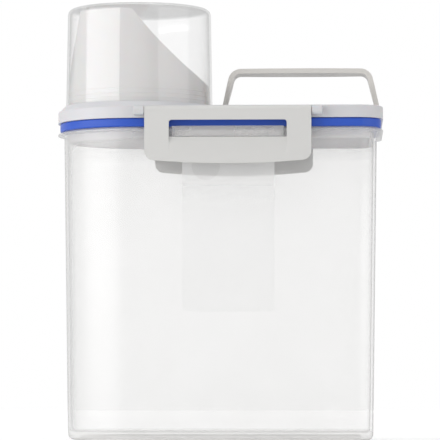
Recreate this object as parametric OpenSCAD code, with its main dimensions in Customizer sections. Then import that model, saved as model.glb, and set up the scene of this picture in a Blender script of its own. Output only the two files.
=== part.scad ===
// Airtight rice keeper: a tall D-shaped bin with a clamped lid, a pouring spout
// under an upturned measuring cup, two flip-up side latches and a swinging handle.
// The origin is at the centre of the base. Front is -Y, the spout end is -X.

/* [Rim plan] */
// Length of the lid and rim, left to right
plan_l = 192; // [180:1:216]
// Depth of the lid and rim, front to back, and so the width of the half-round end
plan_d = 96; // [92:1:104]
// Corner radius of the square end
corner_r = 16; // [15:1:24]

/* [Bin] */
// Height of the bin to the top of its rim
bin_h = 181.3; // [150:0.1:230]
// Wall thickness
wall_t = 1.8; // [1.4:0.1:2.2]
// How far the wall stands in from the rim's edge at the top
wall_inset = 3.6; // [3.2:0.1:4.2]
// How much further the wall stands in at the base
draft = 2.6; // [1:0.1:3.2]
// Thickness of the rim flange
rim_t = 2.2; // [1.6:0.1:3]
// Width of the slope along the rim's outer edge
rim_slope_w = 2.4; // [1.4:0.1:2.8]
// Drop of that slope
rim_slope_h = 1.2; // [0.6:0.1:1.4]
// Thickness of the floor
floor_t = 1.8; // [1.4:0.1:2.6]
// Height of the foot ring under the floor
foot_h = 2.8; // [1.6:0.1:4]
// Width of the foot ring
foot_w = 7; // [6:0.1:8]
// Outside radius of the base edge
base_r = 4; // [2.5:0.1:4.4]
// Radius of the inside fillet between wall and floor
floor_fillet = 2.6; // [1:0.1:4]

/* [Catch bars] */
// Length of each catch bar
catch_w = 64.5; // [50:0.5:66]
// Height of each catch bar, rim included
catch_h = 6.1; // [4.6:0.1:7.5]
// How far a catch bar reaches into the latch plate
catch_bite = 0.7; // [0.4:0.1:1.2]
// Thickness of a catch bar's walls
catch_t = 1.8; // [1.4:0.1:2.4]
// Number of ribs behind a catch bar
catch_ribs = 2; // [2:1:7]

/* [Label] */
// Width of the frosted label
label_w = 53.6; // [40:0.2:60]
// Height of the label's lower edge above the base
label_z = 74; // [40:1:90]
// Height of the label
label_h = 94; // [60:1:96]
// Thickness of the label film
label_t = 0.3; // [0.2:0.05:0.5]

/* [Gasket] */
// Height of the blue band between rim and lid
gasket_h = 5.1; // [3.6:0.1:6]
// How far the band stands in from the rim's edge
gasket_inset = 1.2; // [0.6:0.1:1.8]
// Height of the tongue that holds the gasket in the lid
tongue_h = 3; // [2:0.1:3.4]
// Gap between the gasket and the lid's plug and skirt
gasket_gap = 0.2; // [0.1:0.05:0.3]

/* [Lid] */
// Height of the lid's skirt
skirt_h = 7.3; // [7.2:0.1:9.5]
// Thickness of the skirt
skirt_t = 2; // [1.6:0.1:2.4]
// Thickness of the lid's top
top_t = 2.2; // [1.8:0.1:3]
// Radius of the lid's top edge
edge_r = 1; // [0.6:0.1:1.4]
// Flat left between that edge and the cup's seat
seat_ledge = 0.4; // [0.2:0.1:0.8]
// How far the plug reaches down inside the bin
plug_drop = 6.2; // [6:0.1:16]
// Thickness of the plug wall
plug_t = 1.8; // [1.4:0.1:2.2]
// Height of the lead-in at the plug's lower edge
plug_lead = 1; // [0.5:0.1:2]
// Thickness of the collar round the spout's hole
collar_t = 1.4; // [1:0.1:1.6]
// Height of the raised seat that carries the cup
seat_h = 3; // [2:0.1:4.5]
// Width of the flat left round the cup's mouth on the seat
seat_edge = 0.8; // [0.5:0.1:1.2]
// Height of the ribs under the lid
rib_h = 5; // [3:0.1:8]
// Thickness of the ribs under the lid
rib_t = 1.4; // [1:0.1:2]
// Thickness of the pad under the handle's left foot
pad_t = 1.4; // [1:0.1:2]

/* [Cup] */
// How far the cup's mouth stands in from the rim's edge
cup_inset = 4.6; // [4:0.1:6]
// Height of the cup
cup_h = 58; // [50:0.5:70]
// Wall thickness of the cup
cup_t = 1.2; // [1:0.1:1.5]
// How much narrower the cup is at its closed end
cup_taper = 1; // [0.6:0.1:2]
// Outside radius of the cup's closed corner
cup_corner = 3.5; // [2:0.1:5]
// Height of the raised measuring marks
mark_t = 0.25; // [0.15:0.05:0.4]
// Width of a measuring mark
mark_w = 0.6; // [0.4:0.1:1]
// Height of the lowest measuring mark above the cup's mouth
mark_z = 16; // [12:0.5:20]
// Distance between the long marks
mark_pitch = 10.4; // [6:0.2:12]
// Distance between the short marks
short_pitch = 8.2; // [5:0.2:9]
// Direction in which the long marks start, 0 being to the right and -90 to the front
mark_turn = -83; // [-100:1:-60]
// Sweep of a long mark round the cup
mark_span = 20; // [10:1:30]
// Direction in which the short marks start
short_turn = -35; // [-50:1:-20]
// Sweep of a short mark
short_span = 9; // [5:1:15]

/* [Spout] */
// Height of the spout above its seat
spout_h = 54.6; // [40:0.2:55]
// Wall thickness of the spout
spout_t = 1.6; // [1.2:0.1:2]
// Depth of the spigot that holds the spout in the lid
spigot_h = 15; // [8:0.5:18]
// Wall thickness of the spigot
spigot_t = 1.4; // [1:0.1:1.8]
// How far the sealing beads stand out of the spout
bead_out = 0.15; // [0.1:0.01:0.2]
// Distance between the sealing beads
bead_pitch = 2.6; // [1.6:0.1:3.2]
// Height of the mouth's low side above the seat
mouth_low = 11.6; // [8:0.2:18]
// How far the level top of the mouth stops short of the spout's axis
mouth_tip = 1.9; // [0:0.1:8]
// Hollow of the slanting mouth edge
mouth_sag = 2.2; // [0.8:0.1:4]
// Radius where the level top turns into the slant
mouth_r = 5; // [2:0.5:8]
// Height above the seat at which the flat facet starts
facet_z = 13.5; // [8:0.5:24]
// How far the facet leans in at the top
facet_in = 8.6; // [4:0.1:12]

/* [Latches] */
// Width of each latch
latch_w = 96.2; // [84:0.2:98]
// Distance of the latches' middle from the origin, towards the square end
latch_x = 6.4; // [0:0.1:12]
// Height of a latch from the hinge axis down to its corners
latch_drop = 29; // [26:0.5:34]
// Thickness of the latch plate
latch_t = 2.4; // [2:0.1:3]
// How far the lower edge bows down in the middle
latch_bow = 1.9; // [1:0.1:3]
// Radius of the lower corners
latch_corner = 5.4; // [3:0.2:8]
// Width of the window in a latch
window_w = 68; // [66.5:0.5:74]
// Height of the window above the catch bar's underside
window_h = 9.5; // [8.6:0.1:9.8]
// Height of the sloping lower sill of the window
sill_h = 4; // [2:0.1:6]
// Radius of the hinge barrel
barrel_r = 2.6; // [2.3:0.05:2.8]
// Depth of a hinge barrel's top below the lid's top
barrel_drop = 0.7; // [0.5:0.05:0.9]
// Depth of the stiffening returns behind the plate
return_d = 1.4; // [0.8:0.1:1.8]
// Thickness of the stiffening returns
return_t = 1.8; // [1.2:0.1:2.4]
// Radius of the latch's hinge studs
stud_r = 1.5; // [1.1:0.05:1.6]
// Length of the latch's hinge studs
stud_l = 4.6; // [3:0.1:5.5]
// Width of each hinge ear on the lid
ear_w = 6; // [5:0.1:7.5]

/* [Handle] */
// Outside width of the handle at its feet
handle_w = 92.4; // [80:0.2:93]
// Distance of the handle's middle from the origin
handle_x = 47.8; // [47.4:0.1:47.9]
// Height of the handle's top above the lid
handle_h = 24.8; // [24:0.2:34]
// Thickness of the handle strap
strap_t = 2.9; // [2.4:0.1:3.4]
// Greatest depth of the grip, front to back
grip_d = 23; // [14:0.5:25]
// Depth of the grip at its ends
grip_end_d = 16; // [11:0.5:18]
// Outside radius of the handle's corners
handle_corner = 7.5; // [5:0.5:12]
// How far each leg leans in per millimetre of height
handle_lean = 0.236; // [0.1:0.01:0.3]
// Height above the lid at which the legs start to lean
lean_start = 3.8; // [2:0.1:6]
// Radius of the handle's rounded feet
handle_foot_r = 3.2; // [2.8:0.1:3.4]
// Radius of the handle's pivot studs
handle_stud_r = 1.4; // [1:0.05:1.5]
// Length of the handle's pivot studs
handle_stud_l = 3.2; // [2:0.1:4]
// Height of the handle's pivots above the lid
pivot_rise = 0.9; // [0.6:0.1:1.6]
// Height above the pivots up to which the legs stay slim
leg_slim = 4.5; // [4:0.1:6]
// Length of the wells that the feet swing in
well_l = 16.4; // [13:0.2:20]
// Thickness of each pivot ear on the lid
handle_ear_t = 3.6; // [3:0.1:5]

/* [Clearances] */
// Gap between the plug and the bin's wall
plug_gap = 0.35; // [0.3:0.05:0.6]
// Radial running clearance of the hinge studs
stud_gap = 0.1; // [0.05:0.01:0.1]
// Gap beside pieces that swing
side_gap = 0.35; // [0.3:0.05:0.6]
// Gap under the handle's feet
foot_gap = 0.5; // [0.4:0.05:0.8]
// Gap between the spigot and the lid
spigot_gap = 0.3; // [0.1:0.05:0.4]
// Gap between the spout and the inside of the cup
cup_gap = 0.45; // [0.4:0.05:0.8]

/* [Hidden] */
$fn = 96;
eps = 0.01;
// Overlap of pieces of one solid
lap = 1;

// The plan: a half circle on the left, round corners on the right
half_d = plan_d / 2;
left_x = half_d - plan_l / 2;
right_x = plan_l / 2 - corner_r;
corner_y = half_d - corner_r;

// Levels
floor_top = foot_h + floor_t;
skirt_z = bin_h + gasket_h;
lid_top = skirt_z + skirt_h;
plug_z = bin_h - plug_drop;
seat_z = lid_top + seat_h;
catch_z = bin_h - catch_h;

// Distances in from the rim's edge
function wall_in(z) = wall_inset + draft * (1 - z / bin_h);
mouth_in = wall_inset + wall_t;
plug_in = wall_in(plug_z) + wall_t + plug_gap;
plug_inner_in = plug_in + plug_t;
beam_in = plug_inner_in + lap;

// Hinge axis of a latch, at the front
hinge_y = -(half_d + side_gap + barrel_r);
hinge_z = lid_top - barrel_drop - barrel_r;
latch_in_y = hinge_y - barrel_r + latch_t;
latch_out_y = hinge_y - barrel_r;
catch_y = latch_in_y - catch_bite;
sill_z = catch_z - side_gap;
window_top = catch_z + window_h;

// The spout's hole, its spigot and the cup
cup_r = half_d - cup_inset;
hole_r = half_d - plug_inner_in;
spigot_r = hole_r - spigot_gap;
spout_r = cup_r - cup_t - cup_gap;
seat_r = cup_r + seat_edge;
spout_top_r = spout_r - cup_taper * spout_h / cup_h;
bead_r = 0.4;

// Start of the ribs under the lid
rib_x = left_x + hole_r * cos(asin(corner_y / 2 / hole_r)) + collar_t / 2;

// The handle's pivots
pivot_z = lid_top + pivot_rise;
foot_out = handle_w / 2;
foot_in = foot_out - strap_t;
ear_x = foot_in - side_gap - handle_ear_t;
leg_turn_z = lid_top + lean_start;
well_d = handle_foot_r - pivot_rise + foot_gap;

// Runs a profile round the whole plan. The profile's x is the distance out from
// the rim's edge, negative inwards, and its y is the height.
module round_plan() {
    translate([left_x, 0, 0]) rotate([0, 0, 90])
        rotate_extrude(angle = 180) translate([half_d, 0]) children();
    for (side = [0, 1]) mirror([0, side, 0]) {
        translate([left_x, half_d, 0]) rotate([90, 0, 90])
            linear_extrude(right_x - left_x) children();
        translate([right_x, corner_y, 0])
            rotate_extrude(angle = 90) translate([corner_r, 0]) children();
    }
    translate([plan_l / 2, corner_y, 0]) rotate([90, 0, 0])
        linear_extrude(2 * corner_y) children();
}

// The flat area inside the plan, a given distance in from the rim's edge
module plan_area(inset) {
    translate([left_x, 0]) circle(half_d - inset);
    translate([left_x, inset - half_d]) square([right_x - left_x, plan_d - 2 * inset]);
    translate([left_x, -corner_y]) square([plan_l / 2 - inset - left_x, 2 * corner_y]);
    for (side = [-1, 1]) translate([right_x, side * corner_y]) circle(corner_r - inset);
}

// Section of the bin's wall, rim and foot ring
module wall_section() {
    outer_x = -wall_in(base_r);
    polygon([[outer_x, base_r], [-wall_inset, bin_h], [-mouth_in, bin_h],
        [outer_x - wall_t, base_r]]);
    polygon([[-mouth_in, bin_h - rim_t], [-mouth_in, bin_h], [-rim_slope_w, bin_h],
        [0, bin_h - rim_slope_h], [0, bin_h - rim_t]]);
    intersection() {
        translate([outer_x - base_r, base_r]) circle(base_r);
        translate([outer_x - base_r, 0]) square([base_r, base_r]);
    }
    translate([outer_x - foot_w, 0]) square([foot_w - base_r + eps, floor_top]);
    translate([outer_x - foot_w, base_r - eps])
        square([foot_w - wall_t / 2, max(floor_top - base_r, 0.1)]);
    // round fillet between the wall and the floor
    difference() {
        translate([outer_x - wall_t - floor_fillet, floor_top - eps])
            square([floor_fillet + wall_t / 4, floor_fillet]);
        translate([outer_x - wall_t - floor_fillet, floor_top + floor_fillet])
            circle(floor_fillet);
    }
}

// A bar on the rim that the latch's window drops over, with ribs behind its face
module catch_bar() {
    wall_y = wall_in(catch_z) + wall_t / 2 - half_d;
    translate([latch_x - catch_w / 2, catch_y, catch_z])
        cube([catch_w, catch_t, catch_h]);
    translate([latch_x - catch_w / 2, catch_y, bin_h - rim_t])
        cube([catch_w, wall_y - catch_y, rim_t]);
    pitch = (catch_w - catch_t) / (catch_ribs - 1);
    for (i = [0 : catch_ribs - 1])
        translate([latch_x - catch_w / 2 + i * pitch, catch_y, catch_z])
            cube([catch_t, wall_y - catch_y, catch_h]);
}

module container_body() {
    color([0.93, 0.94, 0.95, 0.6]) {
        round_plan() wall_section();
        translate([0, 0, foot_h]) linear_extrude(floor_t) plan_area(wall_in(base_r) + wall_t);
        for (side = [0, 1]) mirror([0, side, 0]) catch_bar();
    }
}

// The film lies on the front wall, which leans by the draft
module front_label() {
    lean = atan(draft / bin_h);
    color([0.9, 0.9, 0.9, 0.5])
        translate([latch_x, wall_in(0) - half_d, 0]) rotate([lean, 0, 0])
            translate([-label_w / 2, -label_t, label_z]) cube([label_w, label_t, label_h]);
}

// Blue band on the rim, with a tongue up into the lid's groove
module rim_gasket() {
    band_in = plug_in - gasket_gap;
    color([0.2, 0.33, 0.75]) round_plan() {
        translate([-band_in, bin_h]) square([band_in - gasket_inset, gasket_h]);
        translate([-band_in, bin_h])
            square([band_in - skirt_t - gasket_gap, gasket_h + tongue_h]);
    }
}

// Section of the lid's rim: skirt, gasket groove and plug
module lid_section() {
    groove_z = skirt_z + tongue_h;
    difference() {
        translate([-beam_in, groove_z]) square([beam_in, lid_top - groove_z]);
        translate([-edge_r, lid_top - edge_r]) difference() {
            square(edge_r + eps);
            circle(edge_r);
        }
    }
    translate([-skirt_t, skirt_z]) square([skirt_t, tongue_h + eps]);
    lead_z = plug_z + plug_lead;
    translate([-plug_inner_in, lead_z]) square([plug_t, groove_z - lead_z + eps]);
    polygon([[-plug_inner_in, plug_z], [-plug_in - plug_t / 3, plug_z], [-plug_in, lead_z + eps],
        [-plug_inner_in, lead_z + eps]]);
}

// Two ears for one latch, on the front skirt
module latch_ears() {
    for (side = [-1, 1]) {
        inner = latch_x + side * (latch_w / 2 + side_gap);
        x0 = min(inner, inner + side * ear_w);
        difference() {
            union() {
                translate([x0, hinge_y, hinge_z]) rotate([0, 90, 0]) cylinder(ear_w, r = barrel_r);
                translate([x0, hinge_y, hinge_z - barrel_r])
                    cube([ear_w, skirt_t / 2 - half_d - hinge_y, 2 * barrel_r]);
            }
            translate([x0 - 1, hinge_y, hinge_z]) rotate([0, 90, 0])
                cylinder(ear_w + 2, r = stud_r + stud_gap);
        }
    }
}

// Everything at one foot of the handle, drawn for the right foot about x = 0
module foot_well() {
    translate([foot_in - side_gap, -well_l / 2, lid_top - well_d])
        cube([strap_t + 2 * side_gap, well_l, well_d + 1]);
}

module foot_ear() {
    translate([ear_x, 0, pivot_z]) rotate([0, 90, 0]) cylinder(handle_ear_t, r = handle_foot_r);
    translate([ear_x, -handle_foot_r, lid_top - lap])
        cube([handle_ear_t, 2 * handle_foot_r, pivot_z - lid_top + lap]);
}

module foot_bore() {
    translate([ear_x - eps, 0, pivot_z]) rotate([0, 90, 0])
        cylinder(handle_ear_t + side_gap, r = handle_stud_r + stud_gap);
}

module lid_shell() {
    color([0.88, 0.88, 0.89]) difference() {
        union() {
            round_plan() lid_section();
            translate([0, 0, lid_top - top_t]) linear_extrude(top_t) plan_area(beam_in - lap);
            // raised seat of the cup
            translate([left_x, 0, lid_top - eps])
                cylinder(seat_h + eps, r1 = half_d - edge_r - seat_ledge, r2 = seat_r);
            // collar round the spout's spigot
            translate([left_x, 0, lid_top - top_t - rib_h])
                cylinder(top_t + rib_h, r = hole_r + collar_t);
            // ribs and the pad under the handle's left foot
            for (side = [-1, 1])
                translate([rib_x, side * corner_y / 2 - rib_t / 2, lid_top - top_t - rib_h])
                    cube([plan_l / 2 - plug_in - rib_x, rib_t, rib_h + eps]);
            translate([handle_x - foot_out - side_gap - pad_t, -well_l / 2 - pad_t,
                lid_top - well_d - pad_t])
                cube([strap_t + 2 * (side_gap + pad_t), well_l + 2 * pad_t, well_d + pad_t]);
            translate([handle_x, 0, 0]) for (side = [0, 1]) mirror([side, 0, 0]) foot_ear();
            for (side = [0, 1]) mirror([0, side, 0]) latch_ears();
        }
        translate([left_x, 0, plug_z - 1]) cylinder(seat_z - plug_z + 2, r = hole_r);
        translate([handle_x, 0, 0]) for (side = [0, 1]) mirror([side, 0, 0]) {
            foot_well();
            foot_bore();
        }
    }
}

// Side view of what the mouth cuts away, about the spout's axis, level with its seat
module mouth_cut() {
    // ends of the slanting edge
    a = [-mouth_tip, spout_h];
    b = [spout_r, mouth_low];
    chord = norm(b - a);
    big_r = chord * chord / (8 * mouth_sag) + mouth_sag / 2;
    across = [a[1] - b[1], b[0] - a[0]] / chord;
    centre = (a + b) / 2 + across * (big_r - mouth_sag);
    // round corner that touches the level top and the slanting edge
    small_z = spout_h - mouth_r;
    reach = big_r + mouth_r;
    small_x = centre[0] - sqrt(pow(reach, 2) - pow(centre[1] - small_z, 2));
    touch = centre + ([small_x, small_z] - centre) * big_r / reach;
    translate(centre) circle(big_r, $fn = 360);
    difference() {
        translate([small_x, touch[1]]) square([touch[0] - small_x + 1, mouth_r]);
        translate([small_x, small_z]) circle(mouth_r);
    }
}

// The flat facet that narrows the pouring lip, cut to a given depth
module facet_side(depth) {
    rotate([90, 0, 0]) translate([0, 0, -half_d]) linear_extrude(plan_d)
        polygon([[depth - spout_r, facet_z], [depth - spout_r + facet_in * (spout_h + 2 - facet_z)
            / (spout_h - facet_z), spout_h + 2], [-plan_d, spout_h + 2], [-plan_d, facet_z]]);
}

module pour_spout() {
    slope = sqrt(1 + pow(facet_in / (spout_h - facet_z), 2));
    color([0.9, 0.9, 0.9]) translate([left_x, 0, seat_z]) difference() {
        union() {
            difference() {
                cylinder(spout_h, r1 = spout_r, r2 = spout_top_r);
                facet_side(0);
            }
            // sealing beads that grip the cup
            for (i = [1 : 3]) translate([0, 0, bead_pitch * i])
                rotate_extrude() translate([spout_r + bead_out - bead_r, 0]) circle(bead_r, $fn = 24);
            translate([0, 0, -spigot_h]) cylinder(spigot_h + eps, r = spigot_r);
        }
        difference() {
            translate([0, 0, spigot_t]) cylinder(spout_h, r1 = spout_r - spout_t,
                r2 = spout_top_r - spout_t);
            facet_side(spout_t * slope);
        }
        translate([0, 0, -spigot_h - 1]) cylinder(spigot_h + 4, r = spigot_r - spigot_t);
        rotate([90, 0, 0]) translate([0, 0, -half_d]) linear_extrude(plan_d) mouth_cut();
    }
}

// Radius of the cup's outside at a height above its mouth
function cup_out(z) = cup_r - cup_taper * z / cup_h;

// Upturned cup: its mouth is on the seat and its closed end is on top
module measuring_cup() {
    flat_r = cup_out(cup_h) - cup_corner;
    color([0.95, 0.96, 0.97, 0.35]) translate([left_x, 0, seat_z]) {
        rotate_extrude() {
            polygon([[cup_r - cup_t, 0], [cup_r, 0], [cup_out(cup_h - cup_corner), cup_h - cup_corner],
                [cup_out(cup_h - cup_corner) - cup_t, cup_h - cup_corner]]);
            translate([0, cup_h - cup_t]) square([flat_r, cup_t]);
            intersection() {
                difference() {
                    translate([flat_r, cup_h - cup_corner]) circle(cup_corner);
                    translate([flat_r, cup_h - cup_corner]) circle(cup_corner - cup_t);
                }
                translate([flat_r, cup_h - cup_corner]) square(cup_corner + 1);
            }
        }
        // raised measuring marks: long ones to the front, short ones to the right
        for (i = [0 : 2]) cup_mark(mark_z + mark_pitch * i, mark_turn, mark_span);
        for (i = [0 : 3]) cup_mark(mark_z + short_pitch * i, short_turn, short_span);
    }
}

module cup_mark(z, start, span) {
    rotate([0, 0, start]) rotate_extrude(angle = span)
        translate([cup_out(z) - cup_t / 4, z]) square([cup_t / 4 + mark_t, mark_w]);
}

// Outline of a latch, seen from the front, down from the hinge axis
module latch_outline() {
    half = latch_w / 2;
    inner = half - latch_corner;
    bow_r = inner * inner / (2 * latch_bow) + latch_bow / 2;
    corner_z = -latch_drop + latch_corner;
    translate([-half, corner_z]) square([latch_w, -corner_z]);
    translate([-inner, -latch_drop]) square([2 * inner, latch_corner + 1]);
    for (side = [-1, 1]) translate([side * inner, corner_z]) circle(latch_corner);
    intersection() {
        translate([0, bow_r - latch_drop - latch_bow]) circle(bow_r, $fn = 720);
        translate([-inner, -latch_drop - latch_bow - 1]) square([2 * inner, latch_bow + 2]);
    }
}

// The front latch; the rear one is its mirror image
module latch() {
    corner_z = hinge_z - latch_drop + latch_corner;
    difference() {
        union() {
            translate([latch_x, latch_in_y, hinge_z]) rotate([90, 0, 0])
                linear_extrude(latch_t) latch_outline();
            translate([latch_x - latch_w / 2, hinge_y, hinge_z]) rotate([0, 90, 0])
                cylinder(latch_w, r = barrel_r);
            translate([latch_x - latch_w / 2 - stud_l, hinge_y, hinge_z]) rotate([0, 90, 0])
                cylinder(latch_w + 2 * stud_l, r = stud_r);
            // stiffening returns down both sides and above the lower edge
            for (side = [0, 1]) translate([latch_x, 0, 0]) mirror([side, 0, 0])
                translate([latch_w / 2 - return_t, latch_in_y - eps, corner_z])
                    cube([return_t, return_d + eps, hinge_z - barrel_r - corner_z - 1]);
            translate([latch_x - latch_w / 2 + latch_corner, latch_in_y - eps, hinge_z - latch_drop])
                cube([latch_w - 2 * latch_corner, return_d + eps, return_t]);
        }
        translate([latch_x - window_w / 2, latch_out_y - 1, sill_z])
            cube([window_w, latch_t + 2, window_top - sill_z]);
        // sill that slopes down and out
        translate([latch_x - window_w / 2, 0, 0]) rotate([90, 0, 90]) linear_extrude(window_w)
            polygon([[latch_in_y - catch_bite, sill_z + eps], [latch_out_y - eps, sill_z + eps],
                [latch_out_y - eps, sill_z - sill_h]]);
    }
}

module front_latch() {
    color([0.84, 0.84, 0.82]) latch();
}

module rear_latch() {
    color([0.84, 0.84, 0.82]) mirror([0, 1, 0]) latch();
}

// Half of the handle's front view, from the middle to the right foot
module strap_half() {
    top = lid_top + handle_h;
    lean_x = handle_lean * (top - leg_turn_z);
    top_x = foot_out - lean_x;
    // the outer round corner touches the leaning leg and the level top
    centre_x = top_x + handle_lean * handle_corner
        - handle_corner * sqrt(1 + handle_lean * handle_lean);
    centre_z = top - handle_corner;
    inner_r = handle_corner - strap_t;
    tilt = atan(handle_lean);
    join = 0.1;
    // level grip, which laps into the corner
    translate([-join, top - strap_t]) square([centre_x + 2 * join, strap_t]);
    // round corner
    intersection() {
        translate([centre_x, centre_z]) difference() {
            circle(handle_corner);
            circle(inner_r);
        }
        translate([centre_x, centre_z]) polygon([[0, 0], [0, 2 * handle_corner],
            [2 * handle_corner, 2 * handle_corner], [3 * handle_corner * cos(tilt - 1),
            3 * handle_corner * sin(tilt - 1)]]);
    }
    // leaning leg, square to the corner's end
    leg_top_z = centre_z + handle_corner * sin(tilt);
    polygon([[centre_x + handle_corner * cos(tilt), leg_top_z], [foot_out, leg_turn_z],
        [foot_in, leg_turn_z], [centre_x + inner_r * cos(tilt), centre_z + inner_r * sin(tilt)]]);
    // upright foot
    translate([foot_in, pivot_z - handle_foot_r])
        square([strap_t, leg_turn_z - pivot_z + handle_foot_r + join]);
}

// Side view of the handle: round feet, widening up to the grip
module strap_side() {
    top = lid_top + handle_h;
    translate([0, pivot_z]) circle(handle_foot_r);
    slim_z = pivot_z + leg_slim;
    wide_z = top - strap_t - 2;
    polygon([[-handle_foot_r, pivot_z], [-handle_foot_r, slim_z], [-grip_d / 2, wide_z],
        [-grip_d / 2, top + 1], [grip_d / 2, top + 1], [grip_d / 2, wide_z],
        [handle_foot_r, slim_z], [handle_foot_r, pivot_z]]);
}

module carry_handle() {
    // the plan view is a lens: deep in the middle of the grip, slim at its ends
    sag = (grip_d - grip_end_d) / 2;
    lens_r = foot_out * foot_out / (2 * sag) + sag / 2;
    color([0.87, 0.86, 0.83]) translate([handle_x, 0, 0]) {
        intersection() {
            rotate([90, 0, 0]) translate([0, 0, -grip_d]) linear_extrude(2 * grip_d)
                for (side = [0, 1]) mirror([side, 0]) strap_half();
            rotate([90, 0, 90]) translate([0, 0, -handle_w]) linear_extrude(2 * handle_w)
                strap_side();
            translate([0, lens_r - grip_d / 2, 0]) cylinder(2 * lid_top, r = lens_r, $fn = 720);
            translate([0, grip_d / 2 - lens_r, 0]) cylinder(2 * lid_top, r = lens_r, $fn = 720);
        }
        for (side = [0, 1]) mirror([side, 0, 0])
            translate([foot_in - handle_stud_l, 0, pivot_z]) rotate([0, 90, 0])
                cylinder(handle_stud_l + eps, r = handle_stud_r);
    }
}

container_body();
front_label();
rim_gasket();
lid_shell();
pour_spout();
measuring_cup();
front_latch();
rear_latch();
carry_handle();
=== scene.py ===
import math

import bmesh
import bpy
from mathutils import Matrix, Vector


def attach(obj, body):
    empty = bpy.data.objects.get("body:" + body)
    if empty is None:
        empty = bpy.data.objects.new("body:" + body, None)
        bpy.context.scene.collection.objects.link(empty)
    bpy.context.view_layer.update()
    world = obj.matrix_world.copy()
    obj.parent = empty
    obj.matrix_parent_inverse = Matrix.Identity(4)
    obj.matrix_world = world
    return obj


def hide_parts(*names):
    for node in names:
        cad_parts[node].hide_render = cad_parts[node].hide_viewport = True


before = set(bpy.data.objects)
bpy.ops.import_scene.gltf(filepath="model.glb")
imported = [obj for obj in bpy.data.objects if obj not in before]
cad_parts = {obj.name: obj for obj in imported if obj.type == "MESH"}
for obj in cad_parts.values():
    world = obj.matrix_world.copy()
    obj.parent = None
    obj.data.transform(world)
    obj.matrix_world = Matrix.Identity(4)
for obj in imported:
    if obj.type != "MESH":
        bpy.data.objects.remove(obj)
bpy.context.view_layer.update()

# Bin: one deep moulding in frosted polypropylene, half round at the pouring end. Its rim
# turns out into a flange that slopes down to a thin edge, with a catch bar on each side.
# It stands on a flat ring, with the floor set up inside. Lengths are in mm up to Studio.

MM = 0.001
plan_long, plan_wide, plan_corner = 192, 96, 16
bin_high = 181.3
rim_reach, wall_draft = 3.6, 2.6
edge_low, edge_high = 179.3, 179.9
wall_top, foot_round = 178.5, 4
well_top, well_floor, well_round = 180.9, 7.2, 2.6
latch_x = 6.4
bar_half, bar_in, bar_out, bar_low = 32.25, 43.5, 51.85, 175.2


def start_fresh():
    """Leaves edit mode with nothing selected."""
    if bpy.context.mode != "OBJECT":
        bpy.ops.object.mode_set(mode="OBJECT")
    bpy.ops.object.select_all(action="DESELECT")


def take(piece):
    """Makes the piece the active one, alone in the selection."""
    start_fresh()
    bpy.context.view_layer.objects.active = piece
    piece.select_set(True)


def edit(piece):
    """Starts edit mode on the piece with none of its faces selected."""
    take(piece)
    bpy.ops.object.mode_set(mode="EDIT")
    bpy.ops.mesh.select_mode(type="FACE")
    bpy.ops.mesh.select_all(action="DESELECT")


def pick(piece, test, kind="FACE"):
    """In edit mode, selects just the faces, edges or corners that pass the test."""
    bpy.ops.mesh.select_mode(type=kind)
    bpy.ops.mesh.select_all(action="DESELECT")
    mesh = bmesh.from_edit_mesh(piece.data)
    found = {"FACE": mesh.faces, "EDGE": mesh.edges, "VERT": mesh.verts}[kind]
    for item in found:
        item.select = bool(test(item))
    mesh.select_flush_mode()
    bmesh.update_edit_mesh(piece.data)


def pick_flat(piece, z, up):
    """Selects the level face at height z that looks up, for 1, or down, for -1."""
    pick(piece, lambda f: f.normal.z * up > 0.9
         and abs(f.calc_center_median().z - z * MM) < 0.02 * MM)


def draw_out(x, y, z):
    """Extrudes the selection by that much."""
    bpy.ops.mesh.extrude_region_move(
        TRANSFORM_OT_translate={"value": (x * MM, y * MM, z * MM)})


def plan_slab(name, inset, z_low, z_high):
    """A slab with the bin's plan, inset from the rim's edge: a half circle on the
    left and round corners on the right."""
    start_fresh()
    bpy.ops.mesh.primitive_plane_add(size=1, location=(0, 0, z_low * MM))
    bpy.ops.object.transform_apply(location=True, rotation=True, scale=True)
    slab = bpy.context.object
    slab.name = name
    edit(slab)
    bpy.ops.mesh.select_all(action="SELECT")
    bpy.ops.transform.resize(
        value=((plan_long - 2 * inset) * MM, (plan_wide - 2 * inset) * MM, 1))
    pick(slab, lambda v: v.co.x < 0, "VERT")
    bpy.ops.mesh.bevel(offset=(plan_wide / 2 - inset) * MM, segments=64,
                       affect="VERTICES", clamp_overlap=False)
    pick(slab, lambda v: v.co.x > (plan_long / 2 - inset - 0.01) * MM, "VERT")
    bpy.ops.mesh.bevel(offset=(plan_corner - inset) * MM, segments=16,
                       affect="VERTICES", clamp_overlap=False)
    bpy.ops.mesh.select_all(action="SELECT")
    bpy.ops.mesh.remove_doubles(threshold=0.002 * MM)
    bpy.ops.mesh.select_all(action="SELECT")
    draw_out(0, 0, z_high - z_low)
    return slab


def step_on(steps, up):
    """Takes the selected level face on through steps of (inset, rise). Rise is
    positive in the direction the face looks in, and up is 1 or -1 for that direction."""
    for inset, rise in steps:
        if inset:
            bpy.ops.mesh.inset(thickness=inset * MM, depth=rise * MM)
        else:
            draw_out(0, 0, up * rise)


def round_steps(radius, count):
    """Steps of (inset, rise) round a quarter circle that starts upright."""
    steps = []
    for i in range(count):
        a, b = (math.radians(90 * j / count) for j in (i, i + 1))
        steps.append((radius * (math.cos(a) - math.cos(b)),
                      radius * (math.sin(b) - math.sin(a))))
    return steps


def box_piece(name, low, high):
    """A block from one corner to the other, with its place in its mesh."""
    start_fresh()
    low, high = Vector(low) * MM, Vector(high) * MM
    bpy.ops.mesh.primitive_cube_add(size=1, location=(low + high) / 2)
    block = bpy.context.object
    block.name = name
    block.scale = high - low
    bpy.ops.object.transform_apply(location=True, rotation=True, scale=True)
    return block


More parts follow.
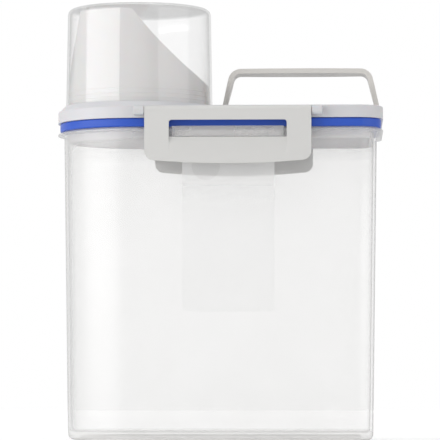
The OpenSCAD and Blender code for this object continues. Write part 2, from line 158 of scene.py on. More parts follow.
def combine(piece, other, how):
    """Fuses other into piece, or cuts it out, and clears it away."""
    take(piece)
    cut = piece.modifiers.new("fuse", "BOOLEAN")
    cut.operation, cut.object, cut.solver = how, other, "EXACT"
    bpy.ops.object.modifier_apply(modifier=cut.name)
    bpy.data.objects.remove(other)


def soften(piece, width, segments, angle):
    """Rounds every edge that turns by more than the angle, by a bevel of that width."""
    take(piece)
    bevel = piece.modifiers.new("edge", "BEVEL")
    bevel.width, bevel.segments = width * MM, segments
    bevel.limit_method, bevel.angle_limit = "ANGLE", math.radians(angle)
    bpy.ops.object.modifier_apply(modifier=bevel.name)


def clean(piece, near):
    """Merges corners that are as near as that and turns all the faces outwards."""
    edit(piece)
    bpy.ops.mesh.select_all(action="SELECT")
    bpy.ops.mesh.remove_doubles(threshold=near * MM)
    bpy.ops.mesh.normals_make_consistent(inside=False)
    start_fresh()


def finish_piece(piece, material, body, nodes):
    """Smooth shading with its sharp edges kept, the material and the frame's calls."""
    clean(piece, 0.001)
    take(piece)
    bpy.ops.object.shade_smooth_by_angle(angle=math.radians(30))
    even = piece.modifiers.new("even", "WEIGHTED_NORMAL")
    even.keep_sharp = True
    bpy.ops.object.modifier_apply(modifier=even.name)
    piece.data.materials.clear()
    piece.data.materials.append(material)
    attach(piece, body)
    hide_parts(*nodes)


def operation(nodes, what, kind="ShaderNodeMath"):
    """A node that does one operation of maths."""
    node = nodes.new(kind)
    node.operation = what
    return node


def ranged(nodes, low, high, to_low, to_high):
    """A node that maps low to to_low and high to to_high."""
    node = nodes.new("ShaderNodeMapRange")
    for socket, value in (("From Min", low), ("From Max", high),
                          ("To Min", to_low), ("To Max", to_high)):
        node.inputs[socket].default_value = value
    return node


def grey_ramp(nodes, *stops):
    """A ramp of greys, from stops of (position, grey) in rising order."""
    node = nodes.new("ShaderNodeValToRGB")
    spots = node.color_ramp.elements
    spots[0].position, spots[1].position = stops[0][0], stops[-1][0]
    for position, _ in stops[1:-1]:
        spots.new(position)
    for spot, (_, grey) in zip(spots, stops):
        spot.color = (grey, grey, grey, 1)
    return node


def wire(tree, *pairs):
    """Links an output to an input for each pair."""
    for output, socket in pairs:
        tree.links.new(output, socket)


def plastic(name, colour, roughness, **sockets):
    """A plastic on a Principled shader, with any other plain sockets set by name."""
    material = bpy.data.materials.new(name)
    material.use_nodes = True
    shader = material.node_tree.nodes["Principled BSDF"]
    shader.inputs["Base Color"].default_value = (*colour, 1)
    shader.inputs["Roughness"].default_value = roughness
    for socket, value in sockets.items():
        shader.inputs[socket.replace("_", " ")].default_value = value
    return material


def moulded_grain():
    """Group: the fine grain and slow waviness of a moulded plastic surface."""
    group = bpy.data.node_groups.new("moulded grain", "ShaderNodeTree")
    for name, kind, way in (("Scale", "NodeSocketFloat", "INPUT"),
                            ("Strength", "NodeSocketFloat", "INPUT"),
                            ("Normal", "NodeSocketVector", "OUTPUT"),
                            ("Mottle", "NodeSocketFloat", "OUTPUT")):
        group.interface.new_socket(name=name, in_out=way, socket_type=kind)
    nodes = group.nodes
    come, go = nodes.new("NodeGroupInput"), nodes.new("NodeGroupOutput")
    place = nodes.new("ShaderNodeTexCoord")
    fine, slow = nodes.new("ShaderNodeTexNoise"), nodes.new("ShaderNodeTexNoise")
    fine.inputs["Detail"].default_value = 3
    slow.inputs["Scale"].default_value = 22
    slow.inputs["Detail"].default_value = 2
    both = operation(nodes, "MULTIPLY_ADD")
    both.inputs[1].default_value = 0.35
    bump = nodes.new("ShaderNodeBump")
    bump.inputs["Distance"].default_value = 0.2 * MM
    wire(group,
         (place.outputs["Object"], fine.inputs["Vector"]),
         (place.outputs["Object"], slow.inputs["Vector"]),
         (come.outputs["Scale"], fine.inputs["Scale"]),
         (fine.outputs["Fac"], both.inputs[0]),
         (slow.outputs["Fac"], both.inputs[2]),
         (both.outputs[0], bump.inputs["Height"]),
         (come.outputs["Strength"], bump.inputs["Strength"]),
         (bump.outputs["Normal"], go.inputs["Normal"]),
         (slow.outputs["Fac"], go.inputs["Mottle"]))
    return group


grain = moulded_grain()


def add_grain(material, scale, strength, rough_low, rough_high):
    """Gives a plastic its moulded surface, with roughness that varies a little."""
    nodes = material.node_tree.nodes
    shader = nodes["Principled BSDF"]
    surface = nodes.new("ShaderNodeGroup")
    surface.node_tree = grain
    surface.inputs["Scale"].default_value = scale
    surface.inputs["Strength"].default_value = strength
    rough = ranged(nodes, 0.3, 0.7, rough_low, rough_high)
    wire(material.node_tree,
         (surface.outputs["Mottle"], rough.inputs["Value"]),
         (rough.outputs["Result"], shader.inputs["Roughness"]),
         (surface.outputs["Normal"], shader.inputs["Normal"]))
    return surface


def thin_wall(material, haze, roughness):
    """Lets light straight through a wall. The haze holds some of it back, and a gloss
    that grows towards the wall's edges reflects the studio."""
    nodes = material.node_tree.nodes
    body = nodes["Principled BSDF"]
    body.inputs["Alpha"].default_value = haze
    gloss = nodes.new("ShaderNodeBsdfAnisotropic")
    gloss.inputs["Roughness"].default_value = roughness
    facing = nodes.new("ShaderNodeLayerWeight")
    facing.inputs["Blend"].default_value = 0.5
    curve = operation(nodes, "POWER")
    curve.inputs[1].default_value = 5
    share = ranged(nodes, 0, 1, 0.04, 0.9)
    both = nodes.new("ShaderNodeMixShader")
    wire(material.node_tree,
         (facing.outputs["Facing"], curve.inputs[0]),
         (curve.outputs[0], share.inputs["Value"]),
         (share.outputs["Result"], both.inputs["Fac"]),
         (body.outputs[0], both.inputs[1]),
         (gloss.outputs[0], both.inputs[2]),
         (both.outputs[0], nodes["Material Output"].inputs["Surface"]))


def wall_in(z):
    """How far the bin's wall stands in from the rim's edge at height z."""
    return rim_reach + wall_draft * (1 - z / bin_high)


bin_piece = plan_slab("bin", 0, edge_low, edge_high)
pick_flat(bin_piece, edge_low, -1)
step_on([(0.2, 0.2), (wall_in(179.1) - 0.8, 0), (0.6, 0.6),
         (wall_in(foot_round) - wall_in(wall_top), wall_top - foot_round)], -1)
step_on(round_steps(foot_round, 8), -1)
step_on([(3, 0), (0.4, -0.4), (0, -2.4)], -1)
pick_flat(bin_piece, edge_high, 1)
step_on([(0.2, 0.3), (2.2, 1.1), (2.6, 0), (0.4, -0.4),
         (wall_in(well_floor) - wall_in(well_top), well_floor - well_top)], 1)
step_on([(inset, -rise) for inset, rise in round_steps(well_round, 6)], 1)

for side in (-1, 1):
    y0, y1 = sorted((side * bar_in, side * bar_out))
    bar = box_piece("bar", (latch_x - bar_half, y0, bar_low),
                    (latch_x + bar_half, y1, bin_high))
    edit(bar)
    pick_flat(bar, bar_low, -1)
    bpy.ops.mesh.inset(thickness=1.8 * MM, depth=0)
    draw_out(0, 0, 3.9)
    soften(bar, 0.3, 2, 60)
    combine(bin_piece, bar, "UNION")

# the rim, the catch bars and the foot are thick, so they hold back more light
thin_haze, foot_haze, rim_haze = 0.10, 0.38, 0.24
frosted = plastic("frosted polypropylene", (0.93, 0.92, 0.905), 0.38, IOR=1.49)
frosted_skin = add_grain(frosted, 900, 0.12, 0.34, 0.44)
thin_wall(frosted, thin_haze, 0.3)
wall_nodes = frosted.node_tree.nodes
wall_place = wall_nodes.new("ShaderNodeTexCoord")
wall_axes = wall_nodes.new("ShaderNodeSeparateXYZ")
wall_level = ranged(wall_nodes, 0, 200 * MM, 0, 1)
wall_haze = grey_ramp(wall_nodes, (0.024, foot_haze), (0.030, thin_haze),
                      (0.832, thin_haze), (0.876, rim_haze))
wall_cloud = ranged(wall_nodes, 0.3, 0.7, 0.85, 1.15)
wall_both = operation(wall_nodes, "MULTIPLY")
wire(frosted.node_tree,
     (wall_place.outputs["Object"], wall_axes.inputs["Vector"]),
     (wall_axes.outputs["Z"], wall_level.inputs["Value"]),
     (wall_level.outputs["Result"], wall_haze.inputs["Fac"]),
     (frosted_skin.outputs["Mottle"], wall_cloud.inputs["Value"]),
     (wall_haze.outputs["Color"], wall_both.inputs[0]),
     (wall_cloud.outputs["Result"], wall_both.inputs[1]),
     (wall_both.outputs[0], wall_nodes["Principled BSDF"].inputs["Alpha"]))
finish_piece(bin_piece, frosted, "bin", ["container_body"])

# Front label: a thin film on the front wall under the latch. Its haze is strong near the
# top and fades out towards its lower end, where the label is hard to see. The stronger
# haze near the top is partly painted shade, standing for the rear latch's shadow seen
# through the wall. The real one is printed; this one keeps only a plain grey disc near
# its top.

label_wide, label_high, label_thick, label_z = 53.4, 93.6, 0.22, 121
disc_x, disc_z, disc_radius = -6.6, 158.5, 8.0
film_white, disc_grey = (0.94, 0.94, 0.935), (0.85, 0.85, 0.845)
film_haze, faded_haze = 0.65, 0.02

start_fresh()
bpy.ops.mesh.primitive_plane_add(size=1, location=(0, 0, 0))
label = bpy.context.object
label.name = "label_film"
edit(label)
bpy.ops.mesh.select_all(action="SELECT")
bpy.ops.transform.resize(value=(label_wide * MM, label_high * MM, 1))
bpy.ops.mesh.bevel(offset=2.5 * MM, segments=8, affect="VERTICES")
bpy.ops.mesh.select_all(action="SELECT")
draw_out(0, 0, label_thick)
take(label)
label.rotation_euler = (math.radians(90) + math.atan(wall_draft / bin_high), 0, 0)
label.location = (latch_x * MM, (wall_in(label_z) - plan_wide / 2) * MM - 0.05 * MM,
                  label_z * MM)
bpy.ops.object.transform_apply(location=True, rotation=True, scale=True)

film = plastic("label film", film_white, 0.5, Alpha=film_haze)
film_nodes = film.node_tree.nodes
film_place = film_nodes.new("ShaderNodeTexCoord")
disc_shift = film_nodes.new("ShaderNodeMapping")
disc_shift.inputs["Location"].default_value = (-disc_x * MM, 0, -disc_z * MM)
disc_shift.inputs["Scale"].default_value = (1, 0, 1)
disc_reach = operation(film_nodes, "LENGTH", "ShaderNodeVectorMath")
disc_edge = ranged(film_nodes, disc_radius * MM, (disc_radius + 0.25) * MM, 1, 0)
disc_mix = film_nodes.new("ShaderNodeMix")
disc_mix.data_type = "RGBA"
disc_mix.inputs["A"].default_value = (*film_white, 1)
disc_mix.inputs["B"].default_value = (*disc_grey, 1)
film_axes = film_nodes.new("ShaderNodeSeparateXYZ")
# haze by height: the label fades out low down, and near the top it is partly painted shade
# for the rear latch's shadow seen through the wall
label_fade_and_shade = ranged(film_nodes, 138 * MM, 162 * MM, faded_haze, film_haze)
film_shader = film_nodes["Principled BSDF"]
wire(film.node_tree,
     (film_place.outputs["Object"], disc_shift.inputs["Vector"]),
     (disc_shift.outputs["Vector"], disc_reach.inputs[0]),
     (disc_reach.outputs["Value"], disc_edge.inputs["Value"]),
     (disc_edge.outputs["Result"], disc_mix.inputs["Factor"]),
     (film_place.outputs["Object"], film_axes.inputs["Vector"]),
     (film_axes.outputs["Z"], label_fade_and_shade.inputs["Value"]),
     (disc_mix.outputs["Result"], film_shader.inputs["Base Color"]),
     (label_fade_and_shade.outputs["Result"], film_shader.inputs["Alpha"]))
finish_piece(label, film, "bin", ["front_label"])

# Seal: a soft blue silicone ring between the rim and the lid. A tongue on top of it sits
# in the lid's groove, so it comes away with the lid.

seal_low, seal_high = 181.32, 186.38

seal = plan_slab("seal", 1.2, seal_low, seal_high)
for z, up, steps in ((seal_low, -1, [(3.4, 0)]),
                     (seal_high, 1, [(0.4, 0), (0, 2.8), (3.0, 0)])):
    pick_flat(seal, z, up)
    bpy.ops.mesh.bevel(offset=0.9 * MM, segments=4, affect="EDGES")
    pick_flat(seal, z, up)
    step_on(steps, up)
    bpy.ops.mesh.delete(type="FACE")
pick(seal, lambda e: e.is_boundary, "EDGE")
bpy.ops.mesh.bridge_edge_loops()

silicone = plastic("blue silicone", (0.03, 0.10, 0.54), 0.34, Specular_IOR_Level=0.35)
add_grain(silicone, 500, 0.10, 0.28, 0.42)
finish_piece(seal, silicone, "lid", ["rim_gasket"])

# Lid: a white polypropylene cap, moulded in one: the skirt, a plug wall that reaches down
# into the bin, a raised seat for the cup with the spout's hole and a collar, ribs and a
# pad below, two ears for each latch, and an ear and a well for each foot of the handle.

lid_low, lid_flat = 186.4, 192.7
cup_x, seat_z = -48, 196.7
hinge_y, hinge_z = 50.95, 190.4
ear_near, ear_long, ear_face = 48.45, 6, 53.55
handle_x, pivot_z, pivot_round = 47.8, 194.6, 3.2


def rod(name, start, end, radius, end_radius, corners):
    """A round rod or cone from start to end, with its place in its mesh."""
    start_fresh()
    start, end = Vector(start) * MM, Vector(end) * MM
    turn = (end - start).to_track_quat("Z", "Y").to_euler()
    bpy.ops.mesh.primitive_cone_add(
        vertices=corners, radius1=radius * MM, radius2=end_radius * MM,
        depth=(end - start).length, location=(start + end) / 2, rotation=turn)
    made = bpy.context.object
    made.name = name
    bpy.ops.object.transform_apply(location=True, rotation=True, scale=True)
    return made


def upright(name, z0, z1, radius, end_radius=None):
    """A rod, or a cone, on the axis that the seat, the spout and the cup share."""
    return rod(name, (cup_x, 0, z0), (cup_x, 0, z1), radius, end_radius or radius, 160)


def crosswise(name, x0, x1, y, z, radius, corners):
    """A rod along X."""
    return rod(name, (x0, y, z), (x1, y, z), radius, radius, corners)


def nosed(name, low, high, radius, test):
    """A block along X, with the long edges whose corners pass the test rounded over."""
    block = box_piece(name, low, high)
    edit(block)
    pick(block, lambda e: all(test(v.co) for v in e.verts)
         and abs(e.verts[0].co.x - e.verts[1].co.x) > MM, "EDGE")
    bpy.ops.mesh.bevel(offset=radius * MM, segments=12, affect="EDGES")
    start_fresh()
    return block


lid = plan_slab("lid", 0, lid_low, lid_flat)
pick_flat(lid, lid_flat, 1)
step_on([(0.076, 0.383), (0.217, 0.324), (0.324, 0.217), (0.383, 0.076)], 1)
pick_flat(lid, lid_low, -1)
step_on([(0.25, 0.0), (1.75, 0), (0, -3), (3.84, 0), (0, 13.3), (0.6, 1.0), (1.2, 0),
         (0, -16.4)], -1)

seat = upright("seat", 193.4, seat_z, 46.9, 44.2)
soften(seat, 0.5, 3, 20)
combine(lid, seat, "UNION")
combine(lid, upright("collar", 186.5, 192.6, 41.76), "UNION")
for rib_y in (-16, 16):
    combine(lid, box_piece("rib", (-10.0, rib_y - 0.7, 186.5), (89.4, rib_y + 0.7, 192.0)),
            "UNION")
combine(lid, box_piece("pad", (-0.4, -9.6, 189.5), (6.3, 9.6, 193.0)), "UNION")
for y_side in (-1, 1):
    y0, y1 = sorted((y_side * ear_face, y_side * 47.0))
    for x_side in (-1, 1):
        near = latch_x + x_side * ear_near
        x0, x1 = sorted((near, near + x_side * ear_long))
        ear = nosed("ear", (x0, y0, 187.8), (x1, y1, 193.0), 2.59,
                    lambda co: abs(co.y) > 53 * MM)
        soften(ear, 0.3, 2, 40)
        bore = crosswise("bore", x0 - 1, x1 + 1, y_side * hinge_y, hinge_z, 1.6, 48)
        combine(ear, bore, "DIFFERENCE")
        combine(lid, ear, "UNION")
for x_side in (-1, 1):
    x0, x1 = sorted((handle_x + x_side * 39.35, handle_x + x_side * 42.95))
    ear = nosed("ear", (x0, -pivot_round, lid_flat), (x1, pivot_round, 197.8), 3.19,
                lambda co: co.z > 197 * MM)
    soften(ear, 0.3, 2, 40)
    combine(lid, ear, "UNION")
    bore = crosswise("bore", x0 - 0.01, x1 + 0.35, 0, pivot_z, 1.5, 48)
    combine(lid, bore, "DIFFERENCE")
    x0, x1 = sorted((handle_x + x_side * 42.97, handle_x + x_side * 46.55))
    combine(lid, box_piece("well", (x0, -8.2, 190.9), (x1, 8.2, 194.7)), "DIFFERENCE")
combine(lid, upright("hole", 184, 199, 40.25), "DIFFERENCE")

white_lid = plastic("white lid", (0.64, 0.64, 0.66), 0.34,
                    Subsurface_Weight=0.1, Subsurface_Scale=0.004)
add_grain(white_lid, 700, 0.10, 0.32, 0.44)
finish_piece(lid, white_lid, "lid", ["lid_shell"])

# Spout: a white pouring insert pushed into the lid, with a spigot below, three sealing
# beads, a round wall with a flat facet that narrows the lip, and a long slanting mouth.

spout_foot, spout_lean, lip_z, facet_z = 41.75, 0.017, 54.6, 13.5
spigot_in, spigot_out = 38.66, 40.06
facet_thick = 1.6


def empty_piece(name):
    """A piece with nothing in its mesh yet, in edit mode."""
    start_fresh()
    bpy.ops.mesh.primitive_plane_add(size=1, location=(0, 0, 0))
    piece = bpy.context.object
    piece.name = name
    edit(piece)
    bpy.ops.mesh.select_all(action="SELECT")
    bpy.ops.mesh.delete(type="VERT")
    return piece


def draw_line(piece, points, closed):
    """In edit mode, joins the points by edges, and the last to the first if closed."""
    mesh = bmesh.from_edit_mesh(piece.data)
    corners = [mesh.verts.new((x * MM, y * MM, z * MM)) for x, y, z in points]
    for a, b in zip(corners, corners[1:] + (corners[:1] if closed else [])):
        mesh.edges.new((a, b))
    bmesh.update_edit_mesh(piece.data)


def spun(name, outline, turns=160, sweep=360, start=0):
    """Spins an outline of (radius, height over the seat) points about the cup's axis."""
    turn = math.radians(start)
    piece = empty_piece(name)
    draw_line(piece, [(cup_x + r * math.cos(turn), r * math.sin(turn), seat_z + z)
                      for r, z in outline], True)
    bpy.ops.mesh.select_all(action="SELECT")
    if sweep < 360:
        bpy.ops.mesh.edge_face_add()
        bpy.ops.mesh.select_all(action="SELECT")
    bpy.ops.mesh.spin(steps=turns, angle=math.radians(sweep),
                      center=(cup_x * MM, 0, 0), axis=(0, 0, 1))
    clean(piece, 0.002)
    return piece


def arc_points(cx, cy, radius, first, last, count):
    """Points on an arc from one angle to another, in degrees."""
    return [(cx + radius * math.cos(math.radians(first + (last - first) * i / count)),
             cy + radius * math.sin(math.radians(first + (last - first) * i / count)))
            for i in range(count + 1)]


def prism(name, outline, y0, y1):
    """A front outline of (x, z) points drawn out from y0 to y1."""
    piece = empty_piece(name)
    draw_line(piece, [(x, y0, z) for x, z in outline], True)
    bpy.ops.mesh.select_all(action="SELECT")
    bpy.ops.mesh.edge_face_add()
    draw_out(0, y1 - y0, 0)
    bpy.ops.mesh.select_all(action="SELECT")
    bpy.ops.mesh.normals_make_consistent(inside=False)
    start_fresh()
    return piece


def slice_off(piece, co, no, outer):
    """Cuts the piece at a plane and closes it, with its outer or inner side cleared."""
    edit(piece)
    bpy.ops.mesh.select_all(action="SELECT")
    bpy.ops.mesh.bisect(plane_co=co, plane_no=no, use_fill=True,
                        clear_outer=outer, clear_inner=not outer)
    start_fresh()


wall = [(spigot_in, -15), (spigot_out, -15), (spigot_out, 0.02), (spout_foot, 0.02)]
for bead in (2.6, 5.2, 7.8):
    wall += [(spout_foot - spout_lean * bead, bead - 0.3)]
    wall += arc_points(41.5 - spout_lean * bead, bead, 0.4, -40, 40, 6)
    wall += [(spout_foot - spout_lean * bead, bead + 0.3)]
wall += [(40.81, lip_z), (39.21, lip_z), (40.15, 1.4), (spigot_in, 1.4)]
spout = spun("spout", wall)

# the wall is cut at the facet's plane, and a plate of the same outline closes the cut
slope_x, slope_z = 8.6, lip_z - facet_z
slope_long = math.hypot(slope_x, slope_z)
facet_co = ((cup_x - spout_foot) * MM, 0, (seat_z + facet_z) * MM)
facet_no = (-slope_z / slope_long, 0, slope_x / slope_long)
inner_co = tuple(c - n * facet_thick * MM for c, n in zip(facet_co, facet_no))
slice_off(spout, facet_co, facet_no, True)
plate = upright("facet", 198.1, 251.3, 41.72, 40.81)
slice_off(plate, facet_co, facet_no, True)
slice_off(plate, inner_co, facet_no, False)
combine(spout, plate, "UNION")

mouth = [(-4.6, 54.62)]
mouth += arc_points(-4.36, 49.6, 5, 87, 37.9, 10)
mouth += arc_points(168.85, 184.27, 214.4, 217.87, 234.39, 60)[1:]
mouth += [(44.5, 70), (-4.6, 70)]
mouth_cut = prism("mouth", [(cup_x + x, seat_z + z) for x, z in mouth], -60, 60)
combine(spout, mouth_cut, "DIFFERENCE")
soften(spout, 0.3, 2, 60)

white_spout = plastic("white spout", (0.74, 0.735, 0.73), 0.22,
                      Subsurface_Weight=0.15, Subsurface_Scale=0.004)
add_grain(white_spout, 600, 0.05, 0.16, 0.26)
finish_piece(spout, white_spout, "lid", ["pour_spout"])

# Measuring cup: a clear cup that stands upside down over the spout and closes it. Fine
# raised marks for measuring run round part of its wall.

cup_foot, cup_high, cup_bend = 43.4, 58.0, 54.5

outline = [(42.2, 0.0), (43.0, 0.0), (cup_foot, 0.35), (42.46, cup_bend)]
outline += arc_points(38.9, cup_bend, 3.5, 0, 90, 10)[1:]
outline += [(0.0, cup_high), (0.0, 56.8)]
outline += arc_points(38.9, cup_bend, 2.3, 90, 0, 10)
outline += [(42.18, 0.4)]
cup = spun("cup", outline, 180)
long_marks = [(16 + 10.4 * i, -83, 20) for i in range(3)]
short_marks = [(16 + 8.2 * i, -35, 9) for i in range(4)]
for level, start, sweep in long_marks + short_marks:
    out = cup_foot - level / cup_high
    mark = spun("mark", [(out - 0.3, level), (out + 0.12, level + 0.05),
                         (out + 0.25, level + 0.3), (out + 0.12, level + 0.55),
                         (out - 0.3, level + 0.6)], 16, sweep, start)
    combine(cup, mark, "UNION")

clear = plastic("clear cup", (0.85, 0.85, 0.84), 0.08, IOR=1.5)
add_grain(clear, 300, 0.03, 0.05, 0.12)
thin_wall(clear, 0.02, 0.06)
finish_piece(cup, clear, "cup", ["measuring_cup"])

# Latches: two wide clamps of light grey plastic that hang from ears on the lid on moulded
# studs. A window drops over the bin's catch bar, and its sloping sill hooks under the bar.

clamp_half, clamp_face, clamp_back = 48.1, -53.55, -51.15
clamp_low, clamp_high, clamp_corner = 161.4, 189.9, 5.4
bow, bow_half = 1.9, 42.7
lip_in, lip_out = -49.75, -51.2
window_half, window_low, window_high = 34, 174.85, 184.7

latch_plastic = plastic("latch plastic", (0.66, 0.655, 0.64), 0.36)
add_grain(latch_plastic, 800, 0.10, 0.32, 0.42)
for side, node, body in ((-1, "front_latch", "front_latch_body"),
                         (1, "rear_latch", "rear_latch_body")):
    latch = box_piece(node + "_clamp", (latch_x - clamp_half, clamp_face, clamp_low),
                      (latch_x + clamp_half, clamp_back, clamp_high))
    edit(latch)
    pick(latch, lambda e: abs(e.verts[0].co.z - e.verts[1].co.z) < 0.1 * MM
         and abs(e.verts[0].co.x - e.verts[1].co.x) < 0.1 * MM
         and e.verts[0].co.z < 162 * MM, "EDGE")
    bpy.ops.mesh.bevel(offset=clamp_corner * MM, segments=12, affect="EDGES")
    for cut in range(-42, 43, 3):
        bpy.ops.mesh.select_all(action="SELECT")
        bpy.ops.mesh.bisect(plane_co=((latch_x + cut) * MM, 0, 0), plane_no=(1, 0, 0))
    # the lower edge bows down between the corners
    mesh = bmesh.from_edit_mesh(latch.data)
    for v in mesh.verts:
        across = abs(v.co.x / MM - latch_x)
        if v.co.z < 161.5 * MM and across < bow_half:
            v.co.z -= bow * MM * (1 - (across / bow_half) ** 2)
    bmesh.update_edit_mesh(latch.data)
    barrel = crosswise("barrel", latch_x - clamp_half, latch_x + clamp_half,
                       -hinge_y, hinge_z, 2.6, 48)
    combine(latch, barrel, "UNION")
    for x_side in (-1, 1):
        x0, x1 = sorted((latch_x + x_side * 46.3, latch_x + x_side * clamp_half))
        combine(latch, box_piece("return", (x0, lip_out, 166.8), (x1, lip_in, 186.8)),
                "UNION")
    combine(latch, box_piece("return", (latch_x - bow_half, lip_out, clamp_low),
                             (latch_x + bow_half, lip_in, 163.2)), "UNION")
    window = box_piece("window", (latch_x - window_half, -56, window_low),
                       (latch_x + window_half, -49, window_high))
    edit(window)
    pick(window, lambda e: all(v.co.z > 184 * MM for v in e.verts)
         and abs(e.verts[0].co.y - e.verts[1].co.y) > MM, "EDGE")
    bpy.ops.mesh.bevel(offset=1.6 * MM, segments=6, affect="EDGES")
    combine(latch, window, "DIFFERENCE")
    sill = box_piece("sill", (latch_x - window_half, -56, 165.1),
                     (latch_x + window_half, -51.75, 178))
    edit(sill)
    pick(sill, lambda v: v.co.z < 166 * MM and v.co.y > -52 * MM, "VERT")
    bpy.ops.transform.translate(value=(0, 0, 9.99 * MM))
    combine(latch, sill, "DIFFERENCE")
    soften(latch, 0.45, 3, 40)
    stud = crosswise("stud", latch_x - 52.7, latch_x + 52.7, -hinge_y, hinge_z, 1.5, 32)
    combine(latch, stud, "UNION")
    if side > 0:
        edit(latch)
        bpy.ops.mesh.select_all(action="SELECT")
        bpy.ops.transform.resize(value=(1, -1, 1), center_override=(0, 0, 0))
        bpy.ops.mesh.flip_normals()
        start_fresh()
    finish_piece(latch, latch_plastic, body, [node])

# Handle: a bent strap of cream plastic. Its feet stand in wells in the lid and turn on
# moulded studs. The grip is deepest in the middle and its edges are rounded.

strap_thick, half_span, top_z = 2.9, 46.2, 218.5
leg_x, leg_low, bend_z = 44.75, 191.4, 197.5
lean, outer_round, middle_round = 0.236, 7.5, 6.05
grip_half, grip_slim, flare_low, flare_high = 11.5, 3.5, 199.1, 213.6
columns = 16

# the strap's middle line over half the span, from a foot up to the top's middle
tilt = math.atan(lean)
shoulder_x = (half_span - lean * (top_z - bend_z) + lean * outer_round
              - outer_round * math.sqrt(1 + lean * lean))
shoulder_z = top_z - outer_round
leg_rise_x = shoulder_x + middle_round * math.cos(tilt) - leg_x
leg_rise_z = shoulder_z + middle_round * math.sin(tilt) - bend_z
path = [(leg_x, leg_low + (bend_z - leg_low) * i / 6) for i in range(7)]
path += [(leg_x + leg_rise_x * i / 6, bend_z + leg_rise_z * i / 6) for i in range(1, 6)]
path += arc_points(shoulder_x, shoulder_z, middle_round, math.degrees(tilt), 90, 14)
path += [(shoulder_x * (1 - i / 10), top_z - strap_thick / 2) for i in range(1, 11)]
whole = path + [(-x, z) for x, z in path[-2::-1]]

handle = empty_piece("handle")
draw_line(handle, [(handle_x + x, -1, z) for x, z in whole], False)
bpy.ops.mesh.select_mode(type="EDGE")
bpy.ops.mesh.select_all(action="SELECT")
for i in range(columns):
    draw_out(0, 2 / columns, 0)
# the ribbon, 2 wide so far, takes its own half width at each height
mesh = bmesh.from_edit_mesh(handle.data)
for v in mesh.verts:
    x, z = v.co.x / MM - handle_x, v.co.z / MM
    lens = grip_half - x * x * grip_slim / half_span ** 2
    rise = max(0, min(1, (z - flare_low) / (flare_high - flare_low)))
    half = min(lens, pivot_round + (grip_half - pivot_round) * rise)
    y = v.co.y / MM * half
    if z < pivot_z:
        z = pivot_z - (pivot_z - z) / pivot_round * math.sqrt(
            max(0, pivot_round ** 2 - y * y))
    v.co.y, v.co.z = y * MM, z * MM
bmesh.update_edit_mesh(handle.data)
clean(handle, 0.01)
take(handle)
thick = handle.modifiers.new("thick", "SOLIDIFY")
thick.thickness, thick.offset, thick.use_even_offset = strap_thick * MM, 0, True
bpy.ops.object.modifier_apply(modifier=thick.name)
soften(handle, 0.6, 3, 50)
for x_side in (-1, 1):
    x0, x1 = sorted((handle_x + x_side * 40.1, handle_x + x_side * 43.5))
    combine(handle, crosswise("stud", x0, x1, 0, pivot_z, 1.4, 32), "UNION")

handle_plastic = plastic("handle plastic", (0.69, 0.67, 0.635), 0.36)
add_grain(handle_plastic, 800, 0.10, 0.32, 0.42)
finish_piece(handle, handle_plastic, "handle", ["carry_handle"])

# Studio: a plain pale floor under a white backdrop, a broad soft light at the left front,
# a weaker one at the right, one from above, and a long lens from the front, a little to
# the right. Its places and sizes are in metres.

start_fresh()
bpy.ops.mesh.primitive_plane_add(size=6, location=(0, 0, -0.5 * MM))
floor = bpy.context.object
floor.name = "floor"
floor_paint = plastic("floor paint", (0.93, 0.93, 0.93), 0.7)
floor.data.materials.append(floor_paint)

# where the lamps' light falls off, the camera still sees the floor as white, with the
# object's shadow on it
paint_nodes = floor_paint.node_tree.nodes
paint_rays = paint_nodes.new("ShaderNodeLightPath")
paint_place = paint_nodes.new("ShaderNodeTexCoord")
paint_far = operation(paint_nodes, "LENGTH", "ShaderNodeVectorMath")
paint_fall = operation(paint_nodes, "POWER")
paint_fall.inputs[0].default_value = 0.368
paint_fade = ranged(paint_nodes, 0, 1, 0.535, 0.135)
paint_share = operation(paint_nodes, "MULTIPLY")
paint_glow = paint_nodes.new("ShaderNodeEmission")
paint_both = paint_nodes.new("ShaderNodeAddShader")
wire(floor_paint.node_tree,
     (paint_place.outputs["Object"], paint_far.inputs[0]),
     (paint_far.outputs["Value"], paint_fall.inputs[1]),
     (paint_fall.outputs[0], paint_fade.inputs["Value"]),
     (paint_fade.outputs["Result"], paint_share.inputs[0]),
     (paint_rays.outputs["Is Camera Ray"], paint_share.inputs[1]),
     (paint_share.outputs[0], paint_glow.inputs["Strength"]),
     (paint_nodes["Principled BSDF"].outputs[0], paint_both.inputs[0]),
     (paint_glow.outputs[0], paint_both.inputs[1]),
     (paint_both.outputs[0], paint_nodes["Material Output"].inputs["Surface"]))

world = bpy.data.worlds.new("studio")
bpy.context.scene.world = world
world.use_nodes = True
sky_nodes = world.node_tree.nodes
sky_rays = sky_nodes.new("ShaderNodeLightPath")
sky_place = sky_nodes.new("ShaderNodeTexCoord")
sky_axes = sky_nodes.new("ShaderNodeSeparateXYZ")
sky_depth = ranged(sky_nodes, -1, 1, 0, 1)
# the white backdrop also lights the object softly from behind
sky_soft = grey_ramp(sky_nodes, (0.62, 0.46), (0.85, 1))
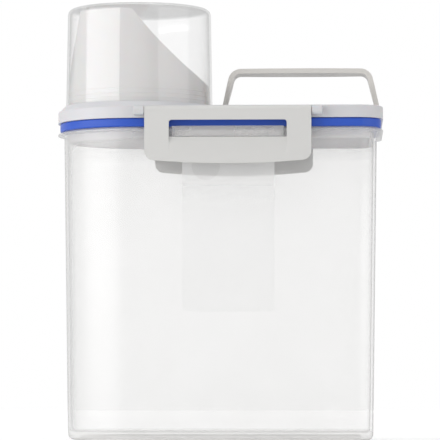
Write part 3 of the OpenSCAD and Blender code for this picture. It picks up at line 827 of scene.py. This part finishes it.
# gloss sees the white backdrop behind the object and a dim room at its sides
sky_room = grey_ramp(sky_nodes, (0, 1), (0.06, 0.62), (0.95, 0.62), (0.985, 1))
sky_dull, sky_white = sky_nodes.new("ShaderNodeMix"), sky_nodes.new("ShaderNodeMix")
sky_dull.data_type = sky_white.data_type = "RGBA"
sky_white.inputs["B"].default_value = (1, 1, 1, 1)
sky_seen = operation(sky_nodes, "MAXIMUM")
wire(world.node_tree,
     (sky_place.outputs["Generated"], sky_axes.inputs["Vector"]),
     (sky_axes.outputs["Y"], sky_depth.inputs["Value"]),
     (sky_depth.outputs["Result"], sky_room.inputs["Fac"]),
     (sky_rays.outputs["Is Glossy Ray"], sky_dull.inputs["Factor"]),
     (sky_depth.outputs["Result"], sky_soft.inputs["Fac"]),
     (sky_soft.outputs["Color"], sky_dull.inputs["A"]),
     (sky_room.outputs["Color"], sky_dull.inputs["B"]),
     (sky_rays.outputs["Is Camera Ray"], sky_seen.inputs[0]),
     (sky_rays.outputs["Is Transmission Ray"], sky_seen.inputs[1]),
     (sky_seen.outputs[0], sky_white.inputs["Factor"]),
     (sky_dull.outputs["Result"], sky_white.inputs["A"]),
     (sky_white.outputs["Result"], sky_nodes["Background"].inputs["Color"]))


def lamp(name, place, aim, size, power):
    """A rectangular area light at a place, turned towards an aim."""
    light = bpy.data.lights.new(name, "AREA")
    light.shape, light.energy = "RECTANGLE", power
    light.size, light.size_y = size
    holder = bpy.data.objects.new(name, light)
    bpy.context.scene.collection.objects.link(holder)
    holder.location = place
    aim_from = Vector(aim) - Vector(place)
    holder.rotation_euler = aim_from.to_track_quat("-Z", "Y").to_euler()


lamp("key", (-1.04, -0.6, 0.45), (0, 0, 0.13), (1.4, 1.1), 9.5)
lamp("fill", (1.04, -0.6, 0.45), (0, 0, 0.13), (1.3, 1.0), 3.4)
lamp("top", (0, -0.1, 1.4), (0, 0, 0.1), (1.0, 0.8), 3.3)

camera_data = bpy.data.cameras.new("camera")
camera = bpy.data.objects.new("camera", camera_data)
bpy.context.scene.collection.objects.link(camera)
camera_data.lens, camera_data.sensor_width = 252.0, 36
camera_data.clip_start, camera_data.clip_end = 0.05, 20
camera.location = (0.0715, -1.8186, 0.028)
look = Vector((-0.0001, 0, 0.1297)) - camera.location
camera.rotation_euler = look.to_track_quat("-Z", "Y").to_euler()
bpy.context.scene.camera = camera
bpy.context.scene.view_settings.view_transform = "Standard"
